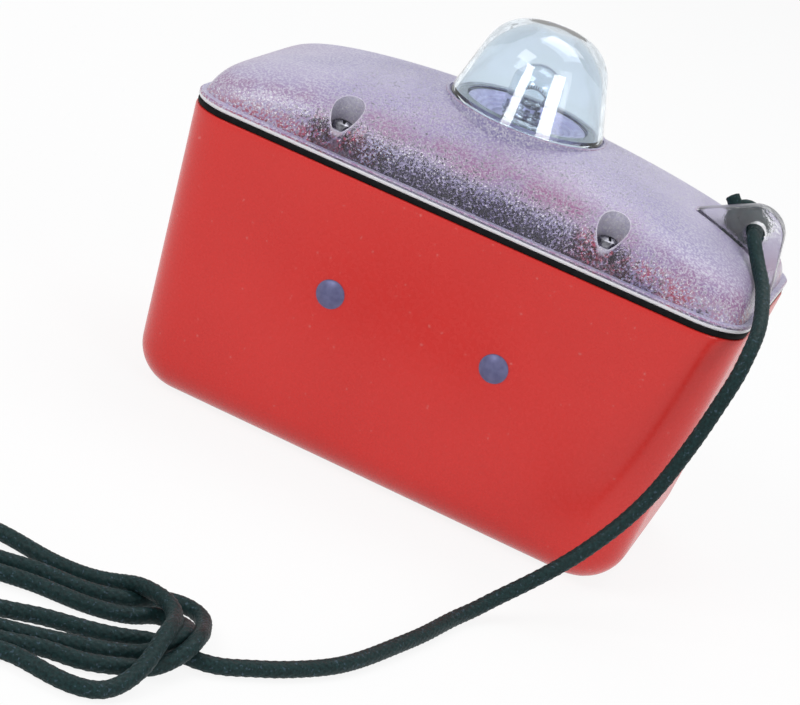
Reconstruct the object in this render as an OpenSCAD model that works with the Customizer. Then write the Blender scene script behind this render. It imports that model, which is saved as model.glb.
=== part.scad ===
// Floating marker light: a tapered moulded box, a clear crowned lid with a lens over a bulb,
// two water contacts on the front face and a lanyard knotted through an eye on the lid.
// Millimetres, +Z up, the front face looks to -Y and the eye is at the +X end.
// The origin is at the middle of the flat base.

/* [Box] */
// Width of the box at its open top
box_w = 140; // [130:1:160]
// Depth of the box at its open top
box_d = 72; // [66:1:84]
// Height of the box
box_h = 69; // [64:1:90]
// How far each end wall leans in over the height
side_draft = 6.8; // [0:0.2:8]
// How far the front and back walls lean in over the height
face_draft = 0.4; // [0:0.1:3]
// Radius of the upright corners
corner_r = 11.5; // [11:0.5:16]
// Radius round the edge of the base
base_r = 9.8; // [5:0.2:10.4]
// Wall of the box
wall = 2.6; // [2:0.1:3.5]

/* [Gasket] */
// Thickness of the gasket
gasket_t = 1.6; // [1:0.1:3]
// How far the gasket stays inside the box outline
gasket_inset = 0.3; // [0:0.1:1]

/* [Lid] */
// Thickness of the rim that presses on the gasket
rim_t = 1.6; // [1:0.1:3]
// Step from the rim to the crowned shell
rim_step = 0.9; // [0.4:0.1:2]
// Height of the crown above the gasket
crown_h = 20.8; // [18:0.2:26]
// Radius of the crown along the length
crown_r_x = 190; // [150:5:260]
// Radius of the crown across the depth
crown_r_y = 54; // [44:1:80]
// Wall of the lid
lid_wall = 2.5; // [2:0.1:3.2]

/* [Lens] */
// Radius of the lens at its foot
lens_r = 19.2; // [17:0.1:20]
// Height of the lens above its seat
lens_h = 22; // [20:0.2:26]
// Lean of the lens wall in degrees
lens_lean = 16; // [5:1:20]
// Radius of the lens shoulder
lens_shoulder_r = 11; // [6:0.5:12]
// Wall of the lens
lens_wall = 2; // [1.2:0.1:3]
// Depth of the spigot that drops into the lid
spigot_h = 2.4; // [1:0.1:4]
// Depth of the lens seat under the top of the crown
seat_drop = 1.4; // [0.6:0.1:2]
// Width of the flat seat under the lens
seat_w = 2; // [1.5:0.1:3]

/* [Lid screws] */
// Distance of each screw from the middle, along the length
screw_x = 33.5; // [32:0.5:40]
// Distance of each screw from the front or back edge of the rim
screw_inset = 6.5; // [6:0.1:10]
// Radius of the screw shank
screw_r = 1.5; // [1:0.1:2]
// Length of the screw shank
screw_l = 20; // [14:1:30]
// Radius of the screw head
head_r = 2.5; // [2.2:0.1:3]
// Height of the screw head
head_h = 2.2; // [1.5:0.1:3]
// Radius of the well over each screw
well_r = 3.5; // [3.3:0.1:4]
// Height of the well floor above the gasket
well_h = 6.2; // [4:0.2:7]
// Wall of the clear boss round each well
boss_wall = 1.4; // [1:0.1:2]
// Radius of the posts in the box
post_r = 4.2; // [3.5:0.1:5]

/* [Water contacts] */
// Distance of each contact from the middle
contact_x = 21; // [12:0.2:28]
// Height of the contacts above the base
contact_z = 41.3; // [36:0.1:52]
// Radius of the contact head
contact_r = 3.5; // [2.5:0.1:5]
// How far the contact head stands out
contact_out = 1.2; // [0.6:0.1:2.5]
// Radius of the contact shank
contact_shank_r = 1.5; // [1:0.1:2]
// Thickness of the nut inside the box
nut_t = 2.4; // [1.6:0.1:3]

/* [Eye lug] */
// Distance of the eye from the end of the rim
eye_inset = 9.5; // [6:0.5:14]
// Height of the eye above the crown of the lid
eye_rise = 4.2; // [3.6:0.1:7]
// Radius of the eye
eye_r = 2.6; // [2.4:0.1:3.2]
// Radius of the lug round the eye
lug_r = 6.8; // [6:0.2:9]
// Thickness of the lug
lug_t = 4; // [3:0.2:5]
// Lean of the lug's top edge in degrees
lug_top_lean = 27; // [10:1:34]
// Lean of the lug's outer edge in degrees
lug_edge_lean = 9; // [4:1:12]

/* [Lamp] */
// Radius of the bulb glass
bulb_r = 6.4; // [5:0.1:7]
// Height of the bulb glass
bulb_h = 14.8; // [12:0.2:17]
// Radius of the bulb cap
cap_r = 5.2; // [4:0.1:6]
// Height of the bulb cap
cap_h = 9; // [6:0.5:12]
// Gap between the reflector dish and the bore of the lens
reflector_gap = 0.5; // [0.4:0.1:3]
// Rise of the reflector dish
reflector_rise = 2.6; // [1:0.2:3]
// Thickness of the reflector
reflector_t = 1.2; // [0.8:0.1:1.6]
// Depth of the reflector's foot under the lens seat
reflector_drop = 3.3; // [3:0.1:6]

/* [Carrier and cells] */
// Gap between the carrier's top plate and the posts at its ends
plate_gap = 1.3; // [0.5:0.1:4]
// Gap between the carrier's top plate and the front and back walls
plate_margin = 4; // [2:0.5:10]
// Thickness of the carrier's plates
plate_t = 3; // [2:0.2:4]
// Depth of the plate under the top of the box
plate_drop = 1; // [0:0.5:6]
// Wall of the lamp pillar
pillar_wall = 2.4; // [1.6:0.1:4]
// Distance of each leg from the end of the plate
leg_inset = 1.5; // [0:0.5:6]
// Depth of each leg
leg_d = 36; // [32:1:40]
// Radius of one cell
cell_r = 13.1; // [10:0.1:13.1]
// Gap between each cell and the round end of the floor
cell_gap = 1.7; // [0.5:0.1:8]

/* [Cord] */
// Diameter of the cord
cord_d = 3.5; // [3:0.1:4.5]
// Length of the stopper knot
knot_l = 12; // [8:0.5:14]
// Radius of the stopper knot
knot_r = 4.2; // [3.5:0.1:5]
// Length of the hank
hank_l = 90; // [80:1:120]
// Width of the hank
hank_w = 46; // [40:1:60]
// Number of loops in the hank
hank_loops = 4; // [2:1:5]
// Radius of the knot at the free end
end_knot_r = 4; // [3.5:0.1:5]

/* [Hidden] */

// Clearance between pieces that slide together
fit = 0.1;
// Clearance between curved faces that stay apart
air = 0.3;
// Overshoot of every cut
over = 1;
$fn = 64;

// Heights that the pieces share
lid_z = box_h + gasket_t;
crown_z = lid_z + crown_h;
seat_z = crown_z - seat_drop;
well_z = lid_z + well_h;
screw_y = box_d / 2 - screw_inset;
function crown_at(x) = crown_z - x * x / (2 * crown_r_x);
eye_x = box_w / 2 - eye_inset;
eye_z = crown_at(eye_x) + eye_rise;
plate_z = box_h - plate_drop - plate_t;
reflector_z = seat_z - reflector_drop;
cell_z = wall + air + cell_r;

// Collar of the bulb cap that the bulb glass stands on
flange_h = 0.8;
flange_out = 0.2;

// Radii that follow from the lens
opening_r = lens_r - seat_w;
spigot_r = opening_r - fit;
bore_r = spigot_r - lens_wall;
reflector_r = bore_r - reflector_gap;

// Half sizes of the box walls at height z
function half_w(z) = box_w / 2 - side_draft * (1 - z / box_h);
function half_d(z) = box_d / 2 - face_draft * (1 - z / box_h);
face_lean = atan(face_draft / box_h);

// Rounded rectangle as one ring of points at height z, anticlockwise
corner_steps = 8;
function ring(hx, hy, r, z) = [
  for (c = [[1, 1, 0], [-1, 1, 90], [-1, -1, 180], [1, -1, 270]])
    for (k = [0 : corner_steps])
      let (a = c[2] + 90 * k / corner_steps)
        [c[0] * (hx - r) + r * cos(a), c[1] * (hy - r) + r * sin(a), z]
];

// Rings of the tub from its base up, moved in by inset, with the round base edge drawn in steps
base_steps = 6;
least_r = 0.8;
function tub_ring(inset, z, back) =
  ring(half_w(z) - inset - back, half_d(z) - inset - back, max(corner_r - inset - back, least_r), z);
function tub(inset) =
  let (r = max(base_r - inset, least_r))
    concat(
      [
        for (k = [base_steps : -1 : 0])
          let (a = 90 * k / base_steps)
            tub_ring(inset, inset + r * (1 - sin(a)), r * (1 - cos(a)))
      ],
      [tub_ring(inset, box_h, 0)]
    );
function reversed(list) = [for (k = [len(list) - 1 : -1 : 0]) list[k]];

// Superellipse as one ring of points, anticlockwise
oval_steps = 64;
function signed_power(v, e) = sign(v) * pow(abs(v), e);
function oval(a, b, n, z) = [
  for (k = [0 : oval_steps - 1])
    let (t = 360 * (k + 0.5) / oval_steps)
      [a * signed_power(cos(t), 2 / n), b * signed_power(sin(t), 2 / n), z]
];

// Crowned shell of the lid, moved in by inset: two crown arcs that roll over into upright walls
crown_steps = 16;
crown_sweep = 78;
// How tightly the crown rolls over at the ends and along the faces
end_roll = 12;
face_roll = 6;
// Squareness of the crown's plan at its top, what the rim adds to it and how fast that fades
top_power = 2.4;
rim_power = 9;
power_fade = 1.5;
function soft_min(a, b, p) = pow(pow(a, -p) + pow(b, -p), -1 / p);
function crown(inset, low) =
  let (top = crown_z - inset)
    [
      for (k = [0 : crown_steps])
        let (
          s = sin(crown_sweep * k / crown_steps),
          z = low + (top - low) * s,
          a = soft_min(sqrt(2 * crown_r_x * (top - z)), box_w / 2 - rim_step - inset, end_roll),
          b = soft_min(sqrt(2 * crown_r_y * (top - z)), box_d / 2 - rim_step - inset, face_roll)
        )
          oval(a, b, top_power + rim_power * pow(1 - s, power_fade), z)
    ];

// Closed skin over a stack of rings
module loft(rings) {
  n = len(rings[0]);
  m = len(rings);
  points = [for (r = rings) each r];
  bottom = [for (i = [0 : n - 1]) i];
  top = [for (i = [n - 1 : -1 : 0]) (m - 1) * n + i];
  sides = [
    for (j = [0 : m - 2])
      for (i = [0 : n - 1])
        let (a = j * n + i, b = j * n + (i + 1) % n)
          each [[a, a + n, b], [a + n, b + n, b]]
  ];
  polyhedron(points, concat([bottom], [top], sides), convexity = 6);
}

// Rounded rectangle with true arcs
module plan(w, d, r) {
  square([w - 2 * r, d], center = true);
  square([w, d - 2 * r], center = true);
  for (x = [-1, 1], y = [-1, 1])
    translate([x * (w / 2 - r), y * (d / 2 - r)]) circle(r);
}

// The children at each of the four screws
module at_screws() {
  for (x = [-1, 1], y = [-1, 1])
    translate([x * screw_x, y * screw_y, 0]) children();
}

// The children on the front face, with +Z along its outward normal
module on_face(x) {
  translate([x, -half_d(contact_z), contact_z]) rotate([90 + face_lean, 0, 0]) children();
}

module box() {
  color([0.8, 0.23, 0.22])
    difference() {
      union() {
        loft(concat(tub(0), reversed(tub(wall))));
        intersection() {
          loft(tub(wall / 2));
          at_screws()
            translate([0, 0, wall - fit]) cylinder(h = box_h - wall + fit, r = post_r);
        }
      }
      at_screws()
        translate([0, 0, well_z - screw_l - over]) cylinder(h = box_h + over, r = screw_r + fit);
      for (x = [-contact_x, contact_x])
        on_face(x) translate([0, 0, -wall - over]) cylinder(h = wall + 2 * over, r = contact_shank_r + fit);
    }
}

module gasket() {
  outer_w = box_w - 2 * gasket_inset;
  outer_d = box_d - 2 * gasket_inset;
  color([0.06, 0.06, 0.07])
    translate([0, 0, box_h])
      linear_extrude(gasket_t)
        difference() {
          plan(outer_w, outer_d, corner_r - gasket_inset);
          plan(box_w - 2 * wall, box_d - 2 * wall, corner_r - wall);
        }
}

// Collar round the foot of the lens: a thin lip, with a flare that runs out on the crown
module collar() {
  flare_w = 1.8;
  flare_h = 4.5;
  steps = 8;
  lip_w = 0.8;
  lip_h = 0.4;
  edge = lens_r + air + lip_w;
  profile = concat(
    [[opening_r, lid_z + rim_t], [opening_r, seat_z + lip_h], [edge, seat_z + lip_h]],
    [
      for (k = [0 : steps])
        let (a = 90 * k / steps)
          [edge + flare_w * (1 - cos(a)), seat_z - flare_h * sin(a)]
    ],
    [[edge + flare_w, lid_z + rim_t]]
  );
  rotate_extrude() polygon(profile);
}

// Upright plate on the end of the lid, with a round head about the eye
module eye_lug() {
  a = 90 + lug_top_lean;
  b = lug_edge_lean;
  run = 16;
  drop = eye_z - lid_z - rim_t;
  head = [eye_x, eye_z];
  top = head + lug_r * [cos(a), sin(a)];
  edge = head + lug_r * [cos(b), sin(b)];
  root = top - run * [cos(lug_top_lean), sin(lug_top_lean)];
  toe = edge + drop * [tan(lug_edge_lean), -1];
  translate([0, lug_t / 2, 0])
    rotate([90, 0, 0])
      linear_extrude(lug_t) {
        translate(head) circle(lug_r);
        polygon([top, root, [root[0], toe[1]], toe, edge, head]);
      }
}

module lid() {
  boss_r = well_r + boss_wall;
  color([0.78, 0.77, 0.88, 0.5])
    difference() {
      union() {
        translate([0, 0, lid_z]) linear_extrude(rim_t) plan(box_w, box_d, corner_r);
        loft(crown(0, lid_z + rim_t / 2));
        collar();
        eye_lug();
      }
      difference() {
        loft(crown(lid_wall, lid_z - over));
        at_screws()
          translate([0, 0, lid_z - over]) cylinder(h = crown_h, r = boss_r);
      }
      translate([0, 0, lid_z]) cylinder(h = crown_h + over, r = opening_r);
      translate([0, 0, seat_z]) cylinder(h = seat_drop + over, r = lens_r + air);
      at_screws() {
        translate([0, 0, well_z]) cylinder(h = crown_h, r = well_r);
        translate([0, 0, lid_z - over]) cylinder(h = crown_h, r = screw_r + air);
      }
      translate([eye_x, lug_t, eye_z]) rotate([90, 0, 0]) cylinder(h = 2 * lug_t, r = eye_r);
    }
}

// One side of the lens section from the foot to the axis: a leaning wall, a shoulder arc and a flat top
lens_steps = 12;
function lens_side(r, h, shoulder) =
  let (
    t = (h - shoulder + shoulder * sin(lens_lean)) / cos(lens_lean),
    x = r - t * sin(lens_lean) - shoulder * cos(lens_lean)
  )
    concat(
      [[r, 0]],
      [
        for (k = [0 : lens_steps])
          let (a = lens_lean + (90 - lens_lean) * k / lens_steps)
            [x + shoulder * cos(a), h - shoulder + shoulder * sin(a)]
      ],
      [[0, h]]
    );

module lens() {
  outside = lens_side(lens_r, lens_h, lens_shoulder_r);
  inside = lens_side(bore_r, lens_h - lens_wall, lens_shoulder_r - lens_wall);
  spigot = [[bore_r, -spigot_h], [spigot_r, -spigot_h], [spigot_r, 0]];
  color([0.85, 0.92, 0.96, 0.4])
    translate([0, 0, seat_z])
      rotate_extrude()
        polygon(concat(spigot, outside, reversed(inside)));
}

module lid_screws() {
  slot_w = 0.8;
  slot_h = 0.9;
  color([0.7, 0.7, 0.72])
    at_screws()
      difference() {
        translate([0, 0, well_z]) {
          translate([0, 0, -screw_l]) cylinder(h = screw_l, r = screw_r);
          cylinder(h = head_h, r = head_r);
        }
        translate([-head_r, -slot_w / 2, well_z + head_h - slot_h])
          cube([2 * head_r, slot_w, slot_h + over]);
      }
}

// Domed head outside, shank through the wall and a hexagonal nut inside
module contact() {
  dome_r = (contact_r * contact_r + contact_out * contact_out) / (2 * contact_out);
  stub = 1;
  shank_l = wall + nut_t + stub;
  color([0.42, 0.4, 0.5]) {
    intersection() {
      translate([0, 0, contact_out - dome_r]) sphere(dome_r);
      cylinder(h = contact_out, r = contact_r);
    }
    translate([0, 0, -shank_l]) cylinder(h = shank_l, r = contact_shank_r);
    translate([0, 0, -wall - nut_t]) cylinder(h = nut_t, r = 2 * contact_shank_r, $fn = 6);
  }
}

module contact_left() {
  on_face(-contact_x) contact();
}

module contact_right() {
  on_face(contact_x) contact();
}

// Top plate with the lamp pillar, on two legs that stand astride the cells
module carrier() {
  plate_w = 2 * (screw_x - post_r - plate_gap);
  plate_d = box_d - 2 * (face_draft + wall + plate_margin);
  leg_x = plate_w / 2 - leg_inset - plate_t / 2;
  pillar_r = cap_r + fit + pillar_wall;
  socket_z = reflector_z - cap_h;
  gap_w = 1.5 * cell_r;
  color([0.1, 0.1, 0.11])
    difference() {
      union() {
        translate([-plate_w / 2, -plate_d / 2, plate_z]) cube([plate_w, plate_d, plate_t]);
        translate([0, 0, plate_z]) cylinder(h = reflector_z - plate_z, r = pillar_r);
        for (x = [-leg_x, leg_x])
          translate([x - plate_t / 2, -leg_d / 2, wall]) cube([plate_t, leg_d, plate_z - wall]);
      }
      translate([0, 0, socket_z]) cylinder(h = cap_h + over, r = cap_r + fit);
      translate([-box_w / 2, 0, cell_z]) rotate([0, 90, 0]) cylinder(h = box_w, r = cell_r + air);
      translate([-box_w / 2, -gap_w / 2, wall - over]) cube([box_w, gap_w, cell_z - wall]);
    }
}

module cells() {
  nipple_r = 3;
  nipple_h = 1.4;
  cell_l = half_w(0) - base_r - cell_gap - nipple_h - air;
  color([0.55, 0.55, 0.58])
    for (x = [-cell_l - nipple_h - air, air])
      translate([x, 0, cell_z])
        rotate([0, 90, 0]) {
          cylinder(h = cell_l, r = cell_r);
          translate([0, 0, cell_l]) cylinder(h = nipple_h, r = nipple_r);
        }
}

module reflector() {
  hole_r = cap_r + air;
  flat_r = hole_r + pillar_wall;
  low = [[hole_r, 0], [flat_r, 0], [reflector_r, reflector_rise]];
  high = [for (p = low) p + [0, reflector_t]];
  color([0.8, 0.78, 0.86])
    translate([0, 0, reflector_z]) rotate_extrude() polygon(concat(low, reversed(high)));
}

module bulb_cap() {
  color([0.75, 0.7, 0.55])
    translate([0, 0, reflector_z - cap_h]) {
      cylinder(h = cap_h + reflector_t + flange_h, r = cap_r);
      translate([0, 0, cap_h + reflector_t]) cylinder(h = flange_h, r = cap_r + flange_out);
    }
}

module bulb_glass() {
  foot = reflector_z + reflector_t + flange_h;
  neck = bulb_h - bulb_r;
  color([0.9, 0.93, 0.95, 0.5])
    translate([0, 0, foot]) {
      cylinder(h = neck, r = bulb_r);
      translate([0, 0, neck]) sphere(bulb_r);
    }
}

// Stopper knot behind the lug, with the cord's neck through the eye and a short tail
module cord_knot() {
  y = lug_t / 2 + air + knot_r;
  body = knot_l / 2 - knot_r;
  lift = 1.6;
  tail_l = 8;
  tail_lean = 20;
  color([0.15, 0.22, 0.22])
    translate([eye_x, 0, eye_z]) {
      translate([0, y, 0]) rotate([90, 0, 0]) cylinder(h = y + lug_t / 2, r = cord_d / 2);
      translate([-knot_r, y, lift]) {
        translate([-body, 0, 0]) rotate([0, 90, 0]) cylinder(h = 2 * body, r = knot_r);
        for (x = [-body, body])
          translate([x, 0, 0]) sphere(knot_r);
        translate([-body, 0, 0]) rotate([0, -tail_lean, 0]) cylinder(h = tail_l, r = cord_d / 2);
      }
    }
}

// Knots of the cord's curve: two at the eye, then past the right front corner of the rim and down
// the box, with the heights as shares of the lid's, then over the floor to the hank
floor_z = cord_d / 2;
cord_start = [eye_x, -lug_t / 2, eye_z];
cord_drop = [4.7, -6, -3.7];
rim_corner = [box_w / 2, -box_d / 2, 0];
over_lid = [-0.9, 19, crown_at(box_w / 2 - rim_step) - 0.8];
down_box = [
  [2.1, 8, 1.03], [2.7, -1, 0.96], [0.9, -5.8, 0.76],
  [-2.8, -8, 0.525], [-10.1, -13, 0.28], [-20.4, -26.5, 0.075]
];
over_floor = [[-26, -37], [-34.4, -68.6], [-46.5, -94.5]];
cord_stop = rim_corner + [-59.8, -104.5, floor_z];
cord_knots = concat(
  [cord_start, cord_start + cord_drop, rim_corner + over_lid],
  [for (p = down_box) rim_corner + [p[0], p[1], max(lid_z * p[2], floor_z)]],
  [for (p = over_floor) rim_corner + [p[0], p[1], floor_z]],
  [cord_stop]
);

// Smooth curve through the knots, never lower than the floor allows
curve_steps = 2;
function curve_at(a, b, c, d, t) =
  b
  + (c - a) * t / 2
  + (a - 2.5 * b + 2 * c - d / 2) * t * t
  + (1.5 * b - a / 2 - 1.5 * c + d / 2) * t * t * t;
function on_floor(p) = [p[0], p[1], max(p[2], floor_z)];
function curve(p) =
  let (n = len(p) - 1)
    concat(
      [
        for (i = [0 : n - 1])
          for (k = [0 : curve_steps - 1])
            on_floor(curve_at(p[max(i - 1, 0)], p[i], p[i + 1], p[min(i + 2, n)], k / curve_steps))
      ],
      [p[n]]
    );

// Place of the hank on the floor, from the point where the cord runs into its bend
hank_turn = 22;
hank_dir = [cos(hank_turn), sin(hank_turn), 0];
hank_across = [-sin(hank_turn), cos(hank_turn), 0];
entry_turn = 15;
entry_dir = [cos(entry_turn), sin(entry_turn), 0];
hank_bend = cord_stop - (hank_w / 2 + air) * entry_dir - [0, 0, floor_z];
hank_mid = hank_bend - (hank_l - hank_w) / 2 * hank_dir;

// Round tube swept along a list of points
tube_sides = 10;
tube_side = [1, 0, 0.4];
function unit(v) = v / norm(v);
function heading(path, i) = unit(path[min(i + 1, len(path) - 1)] - path[max(i - 1, 0)]);
function tube_ring(centre, along, r) =
  let (u = unit(cross(along, tube_side)), v = cross(along, u))
    [for (k = [0 : tube_sides - 1]) let (a = 360 * k / tube_sides) centre + r * (cos(a) * u + sin(a) * v)];

module tube(path, first, last, r) {
  n = len(path) - 1;
  loft([for (i = [0 : n]) tube_ring(path[i], i == 0 ? first : i == n ? last : heading(path, i), r)]);
}

module cord_lead() {
  color([0.15, 0.22, 0.22])
    tube(curve(cord_knots), [0, -1, 0], -entry_dir, cord_d / 2);
}

// One flat loop of cord, with half-round bends at both ends of two straight runs
module cord_loop(run, bend_r) {
  for (side = [-1, 1]) {
    translate([side * run / 2, 0, 0])
      rotate([0, 0, -90 * side])
        rotate_extrude(angle = 180) translate([bend_r, 0]) circle(cord_d / 2);
    translate([-run / 2, side * bend_r, 0]) rotate([0, 90, 0]) cylinder(h = run, r = cord_d / 2);
  }
}

// Loops that lie one inside the other, pressed together, with one turn across them near the lead
module cord_hank() {
  run = hank_l - hank_w;
  outer_r = (hank_w - cord_d) / 2;
  pitch = cord_d - 2 * fit;
  turn_z = cord_d - fit;
  turn_l = hank_w - 2 * cord_d;
  color([0.15, 0.22, 0.22])
    translate(hank_mid + [0, 0, floor_z])
      rotate([0, 0, hank_turn]) {
        for (k = [0 : hank_loops - 1])
          cord_loop(run, outer_r - k * pitch);
        translate([run / 2, turn_l / 2, turn_z]) {
          rotate([90, 0, 0]) cylinder(h = turn_l, r = cord_d / 2);
          sphere(cord_d / 2);
          translate([0, -turn_l, 0]) sphere(cord_d / 2);
        }
      }
}

// Knot beside the hank, with the short tail of the free end
module cord_end_knot() {
  along = 24;
  tail_l = 9;
  place = hank_mid - along * hank_dir - (hank_w / 2 + air + end_knot_r) * hank_across;
  color([0.15, 0.22, 0.22])
    translate(place + [0, 0, end_knot_r]) {
      sphere(end_knot_r);
      rotate([0, -90, hank_turn]) cylinder(h = tail_l, r = cord_d / 2);
    }
}

box();
gasket();
lid();
lens();
lid_screws();
contact_left();
contact_right();
carrier();
cells();
reflector();
bulb_cap();
bulb_glass();
cord_knot();
cord_lead();
cord_hank();
cord_end_knot();
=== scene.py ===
"""Looks of a floating marker light: moulded shells, lamp, lanyard, floor, light and camera."""

import functools
import math

import bmesh
import bpy
import numpy as np
from mathutils import Matrix, Vector


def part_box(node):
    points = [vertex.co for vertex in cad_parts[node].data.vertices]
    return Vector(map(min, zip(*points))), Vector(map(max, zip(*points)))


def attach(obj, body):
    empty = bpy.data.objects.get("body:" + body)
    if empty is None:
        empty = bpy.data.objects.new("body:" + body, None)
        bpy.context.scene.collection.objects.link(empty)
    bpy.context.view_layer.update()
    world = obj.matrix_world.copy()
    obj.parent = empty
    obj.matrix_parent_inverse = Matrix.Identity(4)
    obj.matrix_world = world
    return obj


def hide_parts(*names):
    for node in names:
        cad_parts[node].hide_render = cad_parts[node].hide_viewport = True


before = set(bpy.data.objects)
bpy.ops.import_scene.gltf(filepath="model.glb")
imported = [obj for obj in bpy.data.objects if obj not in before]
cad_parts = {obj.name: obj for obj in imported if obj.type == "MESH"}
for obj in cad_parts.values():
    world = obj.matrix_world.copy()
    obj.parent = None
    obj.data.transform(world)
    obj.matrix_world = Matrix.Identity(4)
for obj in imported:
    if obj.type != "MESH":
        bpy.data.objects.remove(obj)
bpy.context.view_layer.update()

MM = 0.001
BODY = "root"


def node_mm(name):
    """Lowest and highest corner of a node, in millimetres."""
    low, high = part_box(name)
    return np.array(low) / MM, np.array(high) / MM


# Sizes in millimetres, taken from the frame where it shows them
BOX_LOW, BOX_HIGH = node_mm("box")
BOX_W, BOX_D, BOX_H = BOX_HIGH - BOX_LOW
SIDE_DRAFT = 6.8
FACE_DRAFT = 0.4
CORNER_R = 11.5
BASE_R = 9.8
WALL = 2.6
LID_Z = node_mm("gasket")[1][2]
RIM_T = 1.6
RIM_STEP = 0.9
CROWN_Z = LID_Z + 20.8
CROWN_R_X = 190
CROWN_R_Y = 54
LID_WALL = 2.5
SPIGOT_H = 2.4
LENS_LOW, LENS_HIGH = node_mm("lens")
LENS_R = LENS_HIGH[0]
SEAT_Z = LENS_LOW[2] + SPIGOT_H
LENS_H = LENS_HIGH[2] - SEAT_Z
LENS_LEAN = math.radians(16)
LENS_SHOULDER_R = 11
LENS_WALL = 2
SEAT_W = 2
SCREW_X, SCREW_Y = 33.5, BOX_D / 2 - 6.5
WELL_Z = LID_Z + 6.2
WELL_R, BOSS_R, SCREW_R, HEAD_R, HEAD_H, SCREW_L = 3.5, 4.9, 1.5, 2.5, 2.2, 20
POST_R = 4.2
EYE_X, EYE_R = 60.5, 2.6
EYE_Z = CROWN_Z - EYE_X ** 2 / (2 * CROWN_R_X) + 4.2
LUG_R, LUG_T = 6.8, 4
LUG_TOP_LEAN, LUG_EDGE_LEAN = math.radians(27), math.radians(9)
CONTACT_X, CONTACT_Z, CONTACT_R, CONTACT_OUT, CONTACT_SHANK_R = 21, 41.3, 3.5, 1.2, 1.5
REFLECTOR_Z = node_mm("reflector")[0][2]
REFLECTOR_R = node_mm("reflector")[1][0]
BULB_LOW, BULB_HIGH = node_mm("bulb_glass")
BULB_R = BULB_HIGH[0]
CAP_R = 5.2
CORD_D = 3.5


# Mesh helpers

def new_object(name, verts, faces):
    """A mesh object from millimetre points."""
    mesh = bpy.data.meshes.new(name)
    mesh.from_pydata((np.asarray(verts, float) * MM).tolist(), [], faces)
    bm = bmesh.new()
    bm.from_mesh(mesh)
    bmesh.ops.remove_doubles(bm, verts=bm.verts, dist=1e-7)
    bmesh.ops.recalc_face_normals(bm, faces=bm.faces)
    bm.to_mesh(mesh)
    bm.free()
    obj = bpy.data.objects.new(name, mesh)
    bpy.context.scene.collection.objects.link(obj)
    return obj


def smooth(obj, degrees=35):
    """Smooth shading, with edges sharper than this kept."""
    obj.data.shade_smooth()
    obj.data.set_sharp_from_angle(angle=math.radians(degrees))
    return obj


def loft(name, rings):
    """A closed skin over a stack of rings with equal counts."""
    count = len(rings[0])
    faces = []
    for j in range(len(rings) - 1):
        for i in range(count):
            a, b = j * count + i, j * count + (i + 1) % count
            faces.append((a, b, b + count, a + count))
    last = (len(rings) - 1) * count
    faces.append(tuple(range(count))[::-1])
    faces.append(tuple(range(last, last + count)))
    return new_object(name, np.concatenate(rings), faces)


def closed_cells(rows, count):
    """Corners of each cell of a grid that closes both ways: two in one row, two in the next."""
    for j in range(rows):
        this_row, next_row = j * count, (j + 1) % rows * count
        for i in range(count):
            k = (i + 1) % count
            yield this_row + i, this_row + k, next_row + i, next_row + k


def lathe(name, profile, steps=96):
    """A closed section of (radius, height) points, turned about Z."""
    turn = np.linspace(0, 2 * math.pi, steps, endpoint=False)
    section = np.asarray(profile, float)
    verts = [(r * math.cos(a), r * math.sin(a), z) for a in turn for r, z in section]
    faces = [(a, c, d, b) for a, b, c, d in closed_cells(steps, len(section))]
    return new_object(name, verts, faces)


def prism(name, outline, low, high):
    """An outline of (x, y) points, extruded along Z."""
    ring = np.asarray(outline, float)
    rings = [np.column_stack([ring, np.full(len(ring), z)]) for z in (low, high)]
    return loft(name, rings)


def circle(radius, steps=48, centre=(0, 0)):
    """Points (x, y) of a circle."""
    a = np.linspace(0, 2 * math.pi, steps, endpoint=False)
    return np.column_stack([centre[0] + radius * np.cos(a), centre[1] + radius * np.sin(a)])


def arc(centre, radius, start, end, steps):
    """Points (r, z) of an arc between two angles in degrees."""
    a = np.radians(np.linspace(start, end, steps + 1))
    return [(centre[0] + radius * math.cos(t), centre[1] + radius * math.sin(t)) for t in a]


def place(obj, offset=(0, 0, 0), turn=None):
    """Moves a mesh's own points, so that its object stays at the origin."""
    matrix = Matrix.Translation(Vector(offset) * MM)
    if turn is not None:
        matrix = matrix @ turn.to_4x4()
    obj.data.transform(matrix)
    return obj


def join(name, parts):
    """Several mesh objects as one."""
    verts, faces, start = [], [], 0
    for part in parts:
        verts += [tuple(v.co / MM) for v in part.data.vertices]
        faces += [tuple(start + i for i in p.vertices) for p in part.data.polygons]
        start += len(part.data.vertices)
        bpy.data.objects.remove(part)
    return new_object(name, verts, faces)


def boolean(target, tool, operation):
    """Cuts or joins target by tool, and deletes tool."""
    change = target.modifiers.new("boolean", "BOOLEAN")
    change.operation = operation
    change.object = tool
    change.solver = "MANIFOLD"
    graph = bpy.context.evaluated_depsgraph_get()
    result = bpy.data.meshes.new_from_object(target.evaluated_get(graph))
    target.modifiers.clear()
    target.data = result
    bpy.data.objects.remove(tool)


def at_screws():
    """Places (x, y) of the four lid screws."""
    return [(x * SCREW_X, y * SCREW_Y) for x in (-1, 1) for y in (-1, 1)]


# Outlines that the box, gasket and lid share

def rounded(half_w, half_d, radius, z, steps=14):
    """Rounded rectangle as one ring."""
    ring = []
    for sx, sy, start in ((1, 1, 0), (-1, 1, 90), (-1, -1, 180), (1, -1, 270)):
        for k in range(steps + 1):
            a = math.radians(start + 90 * k / steps)
            x = sx * (half_w - radius) + radius * math.cos(a)
            y = sy * (half_d - radius) + radius * math.sin(a)
            ring.append((x, y, z))
    return np.array(ring)


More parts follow.
